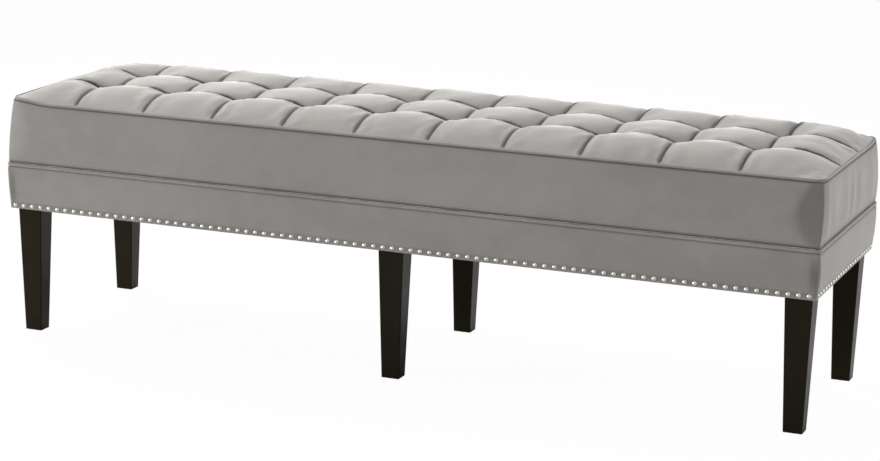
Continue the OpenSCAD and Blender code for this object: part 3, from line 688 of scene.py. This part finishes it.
def wrinkled(x, y):
    """The height of the cover's wrinkles, read between the lines of the cloth's grid."""
    if wrinkles is None:
        return 0 * x
    line_x, line_y, height = wrinkles
    u = np.interp(x, line_x, np.arange(len(line_x)))
    v = np.interp(y, line_y, np.arange(len(line_y)))
    i = np.minimum(u.astype(int), len(line_x) - 2)
    j = np.minimum(v.astype(int), len(line_y) - 2)
    u, v = u - i, v - j
    low = height[j, i] * (1 - u) + height[j, i + 1] * u
    return low * (1 - v) + v * (height[j + 1, i] * (1 - u) + height[j + 1, i + 1] * u)


# The cover's copy of the velvet is lighter than the boxing's, welts' and border's: painted light on the top.
cover_velvet = velvet("cover_velvet", (0.378, 0.359, 0.343), (0.322, 0.305, 0.290))
lines_x = ruled(cover_half[0], cell[0], cells[0], pleat_near, rim_lines)
lines_y = ruled(cover_half[1], cell[1], cells[1], pleat_near, rim_lines)
x, y = np.meshgrid(lines_x, lines_y, indexing="xy")
px, py = pulled_in(x, y)
wrinkles = drawn_cloth(squares=(18, 17), frames=20, slack=0.04, most=2.0)
top_z = cover_height(x, y)
inset = np.minimum(cover_half[0] - np.abs(x), cover_half[1] - np.abs(y))
outer = np.stack([px + bowed(x, y), py, top_z], -1)
thickness = np.minimum(cover_t, cover_least_t + 0.4 * inset)
inner = outer - np.stack([0 * x, 0 * x, thickness], -1)
cover = shell("tufted_top", outer, inner, cover_velvet)
# Painted shade along the pleats.
crease(cover, pleat_shade(x, y))
settle(cover, "velvet", "tufted_cover")

# Between the foam and the cover lies a thick quilt of polyester wadding. It fills the cells and is
# squeezed thin at the tufts, where the twines go through it.
wadding_white, shader, place = finish("wadding_white", Roughness=1.0, Sheen_Weight=0.4)
tangle = place.stretched(1, 1, 3).noise(500, 5, 0.7)
felted = place.noise(30, 3)
feed(
    shader,
    Base_Color=(tangle * 0.5 + felted * 0.5).tone((0.70, 0.70, 0.69), (0.90, 0.90, 0.89)),
    Normal=bumped(tangle, 0.0008),
)
quilt_near = (twine_hole_r, 9.0, 17.0, 30.0, 50.0)
quilt_x = ruled(foam_half[0], cell[0], cells[0], quilt_near, edge_lines)
quilt_y = ruled(foam_half[1], cell[1], cells[1], quilt_near, edge_lines)
under_cover = 1.6
quilt = drilled(
    "wadding_quilt", quilt_x, quilt_y,
    lambda x, y: cover_form(x, y) - groove - cover_t - under_cover,
    lambda x, y: foam_top(x, y) + pad_gap,
    tufts, twine_hole_r, wadding_white,
)
settle(quilt, "wadding", "top_wadding")

# The tufting twines are waxed and laid up from three strands. Each holds the cover by a knot, goes down
# through quilt, foam and deck, and is tied off round a plastic disc.
twine_r = 1.0
twine_ends = 318.7, 450.0
twist = 14.0
knot_from_end = 2.4
knot_run = 1.5
knot_low, knot_top = 1.5, 1.0
strand_groove = 0.16
waxed_twine, shader, place = finish("waxed_twine", Roughness=0.6)
fuzz = place.noise(1500, 3)
feed(shader, Base_Color=fuzz.tone((0.62, 0.58, 0.47), (0.80, 0.77, 0.68)), Normal=bumped(fuzz, 0.0002))
points, faces = [], []
sides, levels = 12, 136
heights = np.linspace(twine_ends[0], twine_ends[1], levels)
swell = twine_r + knot_low * np.exp(-((heights - twine_ends[0] - knot_from_end) / knot_run) ** 2)
swell += knot_top * np.exp(-((heights - twine_ends[1] + knot_from_end) / knot_run) ** 2)
round_it = np.linspace(0, 2 * pi, sides, endpoint=False)
turn = round_it[None, :] + heights[:, None] * 2 * pi / twist
strands = 1 - strand_groove * (0.5 - 0.5 * np.cos(3 * round_it))[None, :]
reach = swell[:, None] * strands
for tx, ty in tufts:
    ring = np.stack([tx + reach * np.cos(turn), ty + reach * np.sin(turn), heights[:, None] + 0 * turn], -1)
    first = len(points)
    points += ring.reshape(-1, 3).tolist()
    faces += lattice(levels, sides, first, closed=True)
    faces.append(tuple(range(first + sides - 1, first - 1, -1)))
    faces.append(tuple(range(len(points) - sides, len(points))))
twines = made("tuft_twine_set", points, faces, waxed_twine)
settle(twines, "twine", "tuft_twines")

anchor_black, shader, place = finish("anchor_black", Roughness=0.45)
moulded = place.noise(1200, 2)
feed(
    shader,
    Base_Color=moulded.tone((0.045, 0.045, 0.05), (0.075, 0.075, 0.08)),
    Roughness=0.4 + 0.15 * moulded,
    Normal=bumped(moulded, 0.00004),
)
dress(anchor_black, "tuft_anchors")

# The boxing is the seat's upright side, four velvet panels sewn together at the corners. Each bellies out
# between the two welts, and its ends curve in to a crisp corner seam.
boxing_z = 339.4, 453.2
boxing_low = np.array([798.6, 218.3])
boxing_top = np.array([800.0, 205.9])
boxing_t = 2.2
seam_gap = 0.15
seam_low = 799.2, 218.0
seam_lean = 3.2, 16.5
seam_bow = 2.8, 6.5
end_belly = 4.8
front_belly = 5.5
belly_fall = 3.2
seam_sink = 0.9
seam_run = 1.5
right_turn, left_turn, end_turn = 1.15, 1.45, 1.8
front_wave, end_wave = 0.35, 0.6


def belly(t):
    """How far a stuffed panel stands out at a share of its height."""
    return 1 - np.abs(2 * t - 1) ** belly_fall


def seam_place(t):
    """The corner seam in plan at a share of the boxing's height."""
    bow = np.sin(pi * t) ** 0.8
    x = seam_low[0] - seam_lean[0] * t + seam_bow[0] * bow
    y = seam_low[1] - seam_lean[1] * t - seam_bow[1] * bow
    return x, y


def boxing_face(side, u, t):
    """A point of the boxing's face. u goes from -1 to 1 along a panel: 1 is its right hand seam.

    Each panel turns in to its seams, sinks a little at them and has faint waves where it bellies."""
    seam_x, seam_y = seam_place(t)
    z = boxing_z[0] + t * (boxing_z[1] - boxing_z[0])
    full_x = boxing_low[0] + (boxing_top[0] - boxing_low[0]) * t + end_belly * belly(t)
    full_y = boxing_low[1] + (boxing_top[1] - boxing_low[1]) * t + front_belly * belly(t)
    bow = np.sin(pi * t)
    if side == "front":
        along = u * (seam_x - seam_gap)
        run = 20 + 30 * bow
        turn = np.clip(1 - (seam_x - np.abs(along)) / run, 0, 1)
        out = full_y - (full_y - seam_y) * turn ** np.where(along > 0, right_turn, left_turn)
        out = out - seam_sink * np.exp(-((seam_x - np.abs(along)) / seam_run) ** 2)
        out = out + front_wave * bow * np.sin(along * 0.045 + 1.6 * np.sin(along * 0.013))
        return np.stack([along, -out, z + 0 * u], -1)
    along = u * (seam_y - seam_gap)
    run = 16 + 24 * bow
    turn = np.clip(1 - (seam_y - np.abs(along)) / run, 0, 1)
    out = full_x - (full_x - seam_x) * turn ** end_turn
    out = out - seam_sink * np.exp(-((seam_y - np.abs(along)) / seam_run) ** 2)
    out = out + end_wave * bow * np.sin(along * 0.10 + 1.4 * np.sin(along * 0.034) + 2 * t)
    return np.stack([out, along, z + 0 * u], -1)


def offset(grid, distance):
    """The grid moved along its own normals; rows go up and columns to the right."""
    across = np.gradient(grid, axis=1)
    upward = np.gradient(grid, axis=0)
    normal = np.cross(across, upward)
    normal /= np.linalg.norm(normal, axis=-1, keepdims=True)
    return grid + normal * distance


def turned_half(grid):
    """The same panel on the opposite side of the bench."""
    return grid * np.array([-1.0, -1.0, 1.0])


seam_near = np.array([0, 0.6, 1.2, 2.0, 3.0, 4.5, 6.5, 9, 12, 16, 20, 25, 30, 36, 43, 52, 64])
front_to_seam, end_to_seam = 797.0, 212.0
share_of_front = 1 - seam_near / front_to_seam
share_of_end = 1 - seam_near / end_to_seam
front_u = np.concatenate([-share_of_front, np.linspace(-0.9, 0.9, 121), share_of_front[::-1]])
end_u = np.concatenate([-share_of_end, np.linspace(-0.66, 0.66, 41), share_of_end[::-1]])
edge_share = np.array([0, 0.008, 0.018, 0.03, 0.044])
share_up = np.concatenate([edge_share, np.linspace(0.07, 0.93, 19), 1 - edge_share[::-1]])
boxing_velvet = velvet("boxing_velvet", (0.300, 0.284, 0.271), (0.255, 0.240, 0.228), (0.060, 0.051, 0.043))
left_end_out = 5.0
corner_out = 4.0
boxing_grids = {}
for side, us in (("front", front_u), ("right", end_u)):
    u, t = np.meshgrid(us, share_up, indexing="xy")
    boxing_grids[side] = boxing_face(side, u, t)
boxing_grids["rear"] = turned_half(boxing_grids["front"])
boxing_grids["left"] = turned_half(boxing_grids["right"])
for side, grid in boxing_grids.items():
    # Painted shade: a dark band on each panel under the top welt, and another over the base welt.
    shade_under_top_welt = 0.72 * np.exp(-((boxing_z[1] - grid[..., 2]) / 2.8) ** 4)
    shade_over_base_welt = 0.64 * np.exp(-((grid[..., 2] - boxing_z[0]) / 4.2) ** 4)
    dark = np.maximum(shade_under_top_welt, shade_over_base_welt)
    if side in ("front", "rear"):
        # Painted shade lies on a long panel where its right hand end turns in to the seam.
        to_seam = seam_place(share_up)[0][:, None] - np.abs(grid[..., 0])
        turned_in = 18 + 32 * np.sin(pi * share_up)[:, None]
        shaded_right_end = grid[..., 0] * (1 if side == "front" else -1) > 0
        dark = np.maximum(dark, 0.24 * smooth(turned_in - to_seam, 0, 12) * shaded_right_end)
    full = np.sin(pi * share_up)[:, None] ** 0.6
    left_end = smooth(-grid[..., 0], 690, 795)
    back_corner = smooth(grid[..., 0], 740, 797) * smooth(grid[..., 1], -50, 190)
    grid[..., 0] += full * (corner_out * back_corner - left_end_out * left_end)
    grid[..., 2] += lift(grid[..., 0], grid[..., 1]) * share_up[:, None] ** 2
    panel = shell(f"{side}_boxing_panel", grid, offset(grid, -boxing_t), boxing_velvet)
    crease(panel, dark)
    settle(panel, "velvet", f"{side}_boxing")

# A band of the same wadding is wrapped round the sides of the foam. It fills the bellies of the boxing, so
# that the panels stay plump between the welts.
band_grid = np.concatenate([boxing_grids[side][:, 1:-1] for side in ("front", "right", "rear", "left")], 1)
band_ring = np.concatenate([band_grid[:, -1:], band_grid, band_grid[:, :1]], 1)
band_outer = offset(band_ring, -boxing_t - pad_gap)[:, 1:-1]
cols = band_outer.shape[1]
over = np.maximum(np.abs(band_outer[..., :2]) - seat_core, 0)
reach = np.maximum(np.hypot(over[..., 0], over[..., 1]), 1e-6)[..., None]
core_point = np.sign(band_outer[..., :2]) * np.minimum(np.abs(band_outer[..., :2]), seat_core)
inner_xy = core_point + np.sign(band_outer[..., :2]) * over / reach * (foam_half - seat_core + pad_gap)
band_inner = np.concatenate([inner_xy, band_outer[..., 2:]], -1)
count = band_outer.shape[0] * cols
rows = band_outer.shape[0]
faces = lattice(rows, cols, closed=True) + lattice(rows, cols, count, flip=True, closed=True)
last = (rows - 1) * cols
for j in range(cols):
    k = (j + 1) % cols
    faces.append((k, j, j + count, k + count))
    faces.append((last + j, last + k, last + k + count, last + j + count))
band = made("wadding_band", np.concatenate([band_outer.reshape(-1, 3), band_inner.reshape(-1, 3)]), faces,
            wadding_white)
settle(band, "wadding", "side_wadding")

# The welts are piped cords in velvet cut on the bias, each with its tape. The top one joins cover and
# boxing, and the base one closes the seat over the border.
piping_velvet = velvet("piping_velvet", (0.310, 0.294, 0.281), (0.250, 0.236, 0.224), (0.060, 0.051, 0.043))
cord_sides = 20
cord_step = 9.0


def round_path(core, radius, step):
    """Places and outward directions round a rectangle with round corners."""
    places, outward = [], []
    for quarter in range(4):
        turn = quarter * pi / 2
        signs = [(1, 1), (-1, 1), (-1, -1), (1, -1)][quarter]
        for a in np.linspace(0, pi / 2, 13):
            way = np.array([cos(turn + a), sin(turn + a)])
            places.append(np.array(signs) * core + radius * way)
            outward.append(way)
        way = np.array([cos(turn + pi / 2), sin(turn + pi / 2)])
        after = np.array([(-1, 1), (-1, -1), (1, -1), (1, 1)][quarter]) * core + radius * way
        start = places[-1]
        steps = max(2, int(np.linalg.norm(after - start) / step))
        for k in range(1, steps):
            places.append(start + (after - start) * k / steps)
            outward.append(way)
    return np.array(places), np.array(outward)


def piping(name, core, corner_r, z, cord_r, tape, tape_z, crevice_shade_angle, raised, node):
    """A cord round the bench with its tape inward, between two heights over the cord's middle.

    corner_r is measured to the cord's middle, the crevice angle is where painted shade on the cord is
    darkest, and a raised cord follows the seat's fuller end."""
    places, outward = round_path(np.array(core), corner_r, cord_step)
    rows = len(places)
    turn = np.linspace(-pi - np.arcsin(tape_z[0] / cord_r), pi - np.arcsin(tape_z[1] / cord_r), cord_sides)
    section = np.stack([cord_r * np.cos(turn), cord_r * np.sin(turn)], -1)
    section = np.concatenate([section, [[-tape, tape_z[1]], [-tape, tape_z[0]]]])
    heights = z + lift(places[:, 0], places[:, 1])[:, None, None] * raised
    k = np.arange(rows)
    plump = 1 + 0.035 * np.sin(k * 2.4) + 0.025 * np.sin(k * 0.93 + 1)
    on_cord = (np.arange(len(section)) < cord_sides)[None, :, None]
    spread = np.where(on_cord, plump[:, None, None], 1.0) * section[None]
    ring = np.concatenate(
        [places[:, None, :] + outward[:, None, :] * spread[..., :1], heights + spread[..., 1:]], -1
    )
    cols = len(section)
    faces = lattice(rows, cols, closed=True)
    last = (rows - 1) * cols
    for j in range(cols):
        m = (j + 1) % cols
        faces.append((last + j, last + m, m, j))
    faces = [f[::-1] for f in faces]
    cord = made(name, ring.reshape(-1, 3), faces, piping_velvet)
    # Painted shade on the cord: darkest facing its crevice, and fainter at the mirrored angle.
    angle = np.arctan2(section[:, 1], section[:, 0])
    off = np.abs(np.angle(np.exp(1j * (angle - crevice_shade_angle))))
    far = np.abs(np.angle(np.exp(1j * (angle + crevice_shade_angle))))
    dark = np.maximum(0.85 * np.exp(-(off / 0.95) ** 4), 0.3 * np.exp(-(far / 0.6) ** 4))
    crease(cord, np.tile(dark, rows))
    settle(cord, "velvet_piping", node)


piping(
    "top_piping", seat_core, corner_r=21.0, z=456.0, cord_r=2.5, tape=11.0, tape_z=(-0.5, 0.5),
    crevice_shade_angle=-2.1, raised=True, node="top_welt",
)
piping(
    "base_piping", (793.0, 213.3), corner_r=7.5, z=336.0, cord_r=3.0, tape=8.0, tape_z=(2.05, 2.95),
    crevice_shade_angle=2.1, raised=False, node="base_welt",
)

# The border is velvet over thin felt, stretched round the rails in four panels. It starts under the base
# welt, draws in to the hem and turns under the rails.
border_z = 249.0, 332.7
border_top = np.array([802.0, 222.0])
hem_half = np.array([798.6, 218.2])
hem_band = 14.0
border_full = np.array([3.4, 0.4])
border_tuck = 1.6
border_sink = 0.6
corner_least_r = 4.0
corner_more_r = 5.0
nail_z = 254.8
border_t = 2.6


def border_face(side, u, z):
    """A point of the border's face, with u as for the boxing. Its corners are roundest half way up."""
    t = np.clip((z - border_z[0] - hem_band) / (border_z[1] - border_z[0] - hem_band), 0, 1)
    tuck = border_tuck * np.exp(-((border_z[1] - z) / 2.2) ** 2)
    bow = np.sin(pi * np.clip((z - border_z[0]) / (border_z[1] - border_z[0]), 0, 1))
    half = hem_half + (border_top - hem_half) * t[..., None] - tuck[..., None] + border_full * bow[..., None]
    r = corner_least_r + corner_more_r * bow
    seam_in = r * (1 - 0.5 ** 0.5)
    own, other = (0, 1) if side == "front" else (1, 0)
    seam = half[..., own] - seam_in
    along = u * (seam - seam_gap)
    flat_end = half[..., own] - r
    past = np.maximum(np.abs(along) - flat_end, 0)
    out = half[..., other] - r + np.sqrt(np.maximum(r * r - past * past, 0))
    out = out - border_sink * np.exp(-((seam - np.abs(along)) / 1.3) ** 2)
    if side == "front":
        return np.stack([along, -out, z], -1)
    return np.stack([out, along, z], -1)


border_velvet = velvet("border_velvet", (0.296, 0.280, 0.267), (0.250, 0.236, 0.224), (0.050, 0.042, 0.036))
border_zs = np.array([249.0, 249.5, 250.5, 252, 254, 257, 260, 263, 267, 273, 281, 290, 299, 307, 315, 321,
                      326, 329, 331, 332, 332.7])
corner_near = np.array([0, 0.5, 1.0, 1.7, 2.6, 3.8, 5.2, 7, 9, 11.5, 15, 20])
front_to_corner, end_to_corner = 793, 215
share_of_front = 1 - corner_near / front_to_corner
share_of_end = 1 - corner_near / end_to_corner
front_u = np.concatenate([-share_of_front, np.linspace(-0.96, 0.96, 97), share_of_front[::-1]])
end_u = np.concatenate([-share_of_end, np.linspace(-0.88, 0.88, 33), share_of_end[::-1]])
border_grids = {}
for side, us in (("front", front_u), ("right", end_u)):
    u, z = np.meshgrid(us, border_zs, indexing="xy")
    border_grids[side] = border_face(side, u, z)
border_grids["rear"] = turned_half(border_grids["front"])
border_grids["left"] = turned_half(border_grids["right"])
for side, grid in border_grids.items():
    panel = shell(f"{side}_border_panel", grid, offset(grid, -border_t), border_velvet)
    # Painted shade: a band under the base welt, and one round the row of nails.
    shade_under_welt = 0.4 * np.exp(-((border_z[1] - grid[..., 2]) / 2.4) ** 4)
    shade_round_nails = 0.28 * np.exp(-((grid[..., 2] - nail_z - 2.5) / 4.6) ** 4)
    dark = np.maximum(shade_under_welt, shade_round_nails)
    if side in ("front", "rear"):
        # Painted shade on a long panel near each corner, deepest half way up.
        corner_shade_height = np.sin(pi * np.clip((grid[..., 2] - border_z[0]) / (border_z[1] - border_z[0]), 0, 1))
        from_corner = hem_half[0] - np.abs(grid[..., 0])
        dark = np.maximum(dark, 0.5 * corner_shade_height * np.exp(-((from_corner - 6.6) / 8) ** 2))
    crease(panel, dark)
    settle(panel, "velvet", f"{side}_border")

# Silver nails with domed heads stand close together round the hem, knocked through the border into the
# rails.
silver, shader, place = finish("silver", Metallic=1.0)
tarnish = place.noise(120, 3)
# Painted shade: the heads are coloured darker where they are seen edge on; the tarnish is their own.
rim_shade = place.node("LayerWeight", {}, {"Blend": 0.5}, 1).clamped(0.25, 0.85)
rim_shade_and_tarnish = (1.0 - rim_shade) * (0.75 + 0.25 * tarnish)
feed(
    shader,
    Base_Color=rim_shade_and_tarnish.tone((0.34, 0.32, 0.29), (0.52, 0.50, 0.47)),
    Roughness=0.30 + 0.16 * tarnish,
    Normal=bumped(place.noise(500, 2), 0.00006),
)
nail_pitch = 18.5
head_r, head_h = 4.8, 2.5
shank, shank_end = 0.7, 10.0
head_low = -0.3
head_rows = [
    (head_r, head_low), (head_r, 0.1), (4.35, 0.55), (3.8, 1.15), (2.9, 1.8), (1.7, 2.3), (0.6, head_h)
]
nail_turn = np.linspace(0, 2 * pi, 16, endpoint=False)
tip = 0.05


def nail_row(side, count, face):
    """A row of nails. Each is a dome on a square shank, and its face is tipped by a hair as hammered."""
    points, faces = [], []
    for k in range(count):
        along = (k - (count - 1) / 2) * nail_pitch
        lean = tip * sin(7.1 * k + len(side)), tip * sin(4.3 * k + 1)
        first = len(points)
        local = [(r * cos(a), r * sin(a), h) for r, h in head_rows for a in nail_turn]
        shank_sides = ((1, 1), (-1, 1), (-1, -1), (1, -1))
        local += [(sx * shank, sy * shank, h) for h in (head_low, -shank_end) for sx, sy in shank_sides]
        for u, v, h in local:
            out = h + lean[0] * u + lean[1] * v if h > head_low else h
            if side in ("front", "rear"):
                sign = -1 if side == "front" else 1
                points.append((along - sign * u, sign * (face + out), nail_z + v))
            else:
                sign = 1 if side == "right" else -1
                points.append((sign * (face + out), along + sign * u, nail_z + v))
        rings = len(head_rows)
        turns = len(nail_turn)
        faces += lattice(rings, turns, first, closed=True)
        faces.append(tuple(range(first + (rings - 1) * turns, first + rings * turns)))
        faces.append(tuple(range(first + turns - 1, first - 1, -1)))
        low = first + rings * turns
        faces += [(low + j, low + 4 + j, low + 4 + (j + 1) % 4, low + (j + 1) % 4) for j in range(4)]
        faces += [(low, low + 1, low + 2, low + 3), (low + 7, low + 6, low + 5, low + 4)]
    row = made(f"{side}_nail_row", points, faces, silver)
    settle(row, "silver_nail", f"{side}_nails")


nails_long, nails_end = 86, 23
nail_row("front", nails_long, hem_half[1])
nail_row("rear", nails_long, hem_half[1])
nail_row("left", nails_end, hem_half[0])
nail_row("right", nails_end, hem_half[0])

# The dust cover is a black non-woven cloth, tacked flat under the rails inside the hem. It sags a little
# in the two bays between the legs.
dust_half = np.array([789.7, 212.7])
dust_z = 250.5
dust_black, shader, place = finish("dust_black", Roughness=0.95)
dots = place.node(
    "TexVoronoi", {"distance": "CHEBYCHEV"}, {"Vector": place, "Scale": 900.0, "Randomness": 0.1}
)
haze = place.noise(40, 3)
feed(
    shader,
    Base_Color=(dots * 0.5 + haze * 0.5).tone((0.010, 0.010, 0.011), (0.030, 0.030, 0.032)),
    Normal=bumped(dots, 0.00015),
)
bolt_x, bolt_y = 764.5, 180.5
bolt_hole_r = 4.2
leg_bolts = [(sx * bolt_x, sy * bolt_y) for sx in (-1, 0, 1) for sy in (-1, 1)]
bay = 50.0, 773.0
bay_half = 196.0
dust_sag = 4.0
dust_half_t = 0.25


def hanging(x, y):
    """The height of the dust cover: it sags in each of the two bays between the legs."""
    share = np.clip((np.abs(x) - bay[0]) / (bay[1] - bay[0]), 0, 1)
    across = np.clip(np.abs(y) / bay_half, 0, 1)
    return dust_z - dust_sag * np.sin(pi * share) ** 0.8 * np.cos(pi / 2 * across)


in_bay = (15, 30, 50, 80, 130, 200, 280, 360, 440, 520, 600, 670, 720, 750)
out_x = (0, bolt_hole_r, *in_bay, bolt_x - bolt_hole_r, bolt_x, bolt_x + bolt_hole_r, 780, dust_half[0])
in_depth = (0, 30, 60, 90, 120, 150, 170)
out_y = (*in_depth, bolt_y - bolt_hole_r, bolt_y, bolt_y + bolt_hole_r, bay_half, dust_half[1])
dust_lines_x = sorted({round(s * v, 3) for s in (-1, 1) for v in out_x})
dust_lines_y = sorted({round(s * v, 3) for s in (-1, 1) for v in out_y})
dust_sheet = drilled(
    "dust_sheet", dust_lines_x, dust_lines_y,
    lambda x, y: hanging(x, y) + dust_half_t,
    lambda x, y: hanging(x, y) - dust_half_t,
    leg_bolts, bolt_hole_r, dust_black,
)
settle(dust_sheet, "dust_cloth", "dust_cover")

# The dust cover is held by cut tacks of blued steel. They are driven up through its edge into the four
# outer rails, with their flat heads against the cloth.
blued, shader, place = finish("blued", Metallic=1.0)
bloom = place.noise(700, 2)
feed(
    shader,
    Base_Color=bloom.tone((0.05, 0.06, 0.09), (0.12, 0.13, 0.16)),
    Roughness=0.35 + 0.2 * bloom,
    Normal=bumped(bloom, 0.00003),
)
dress(blued, "dust_cover_tacks")
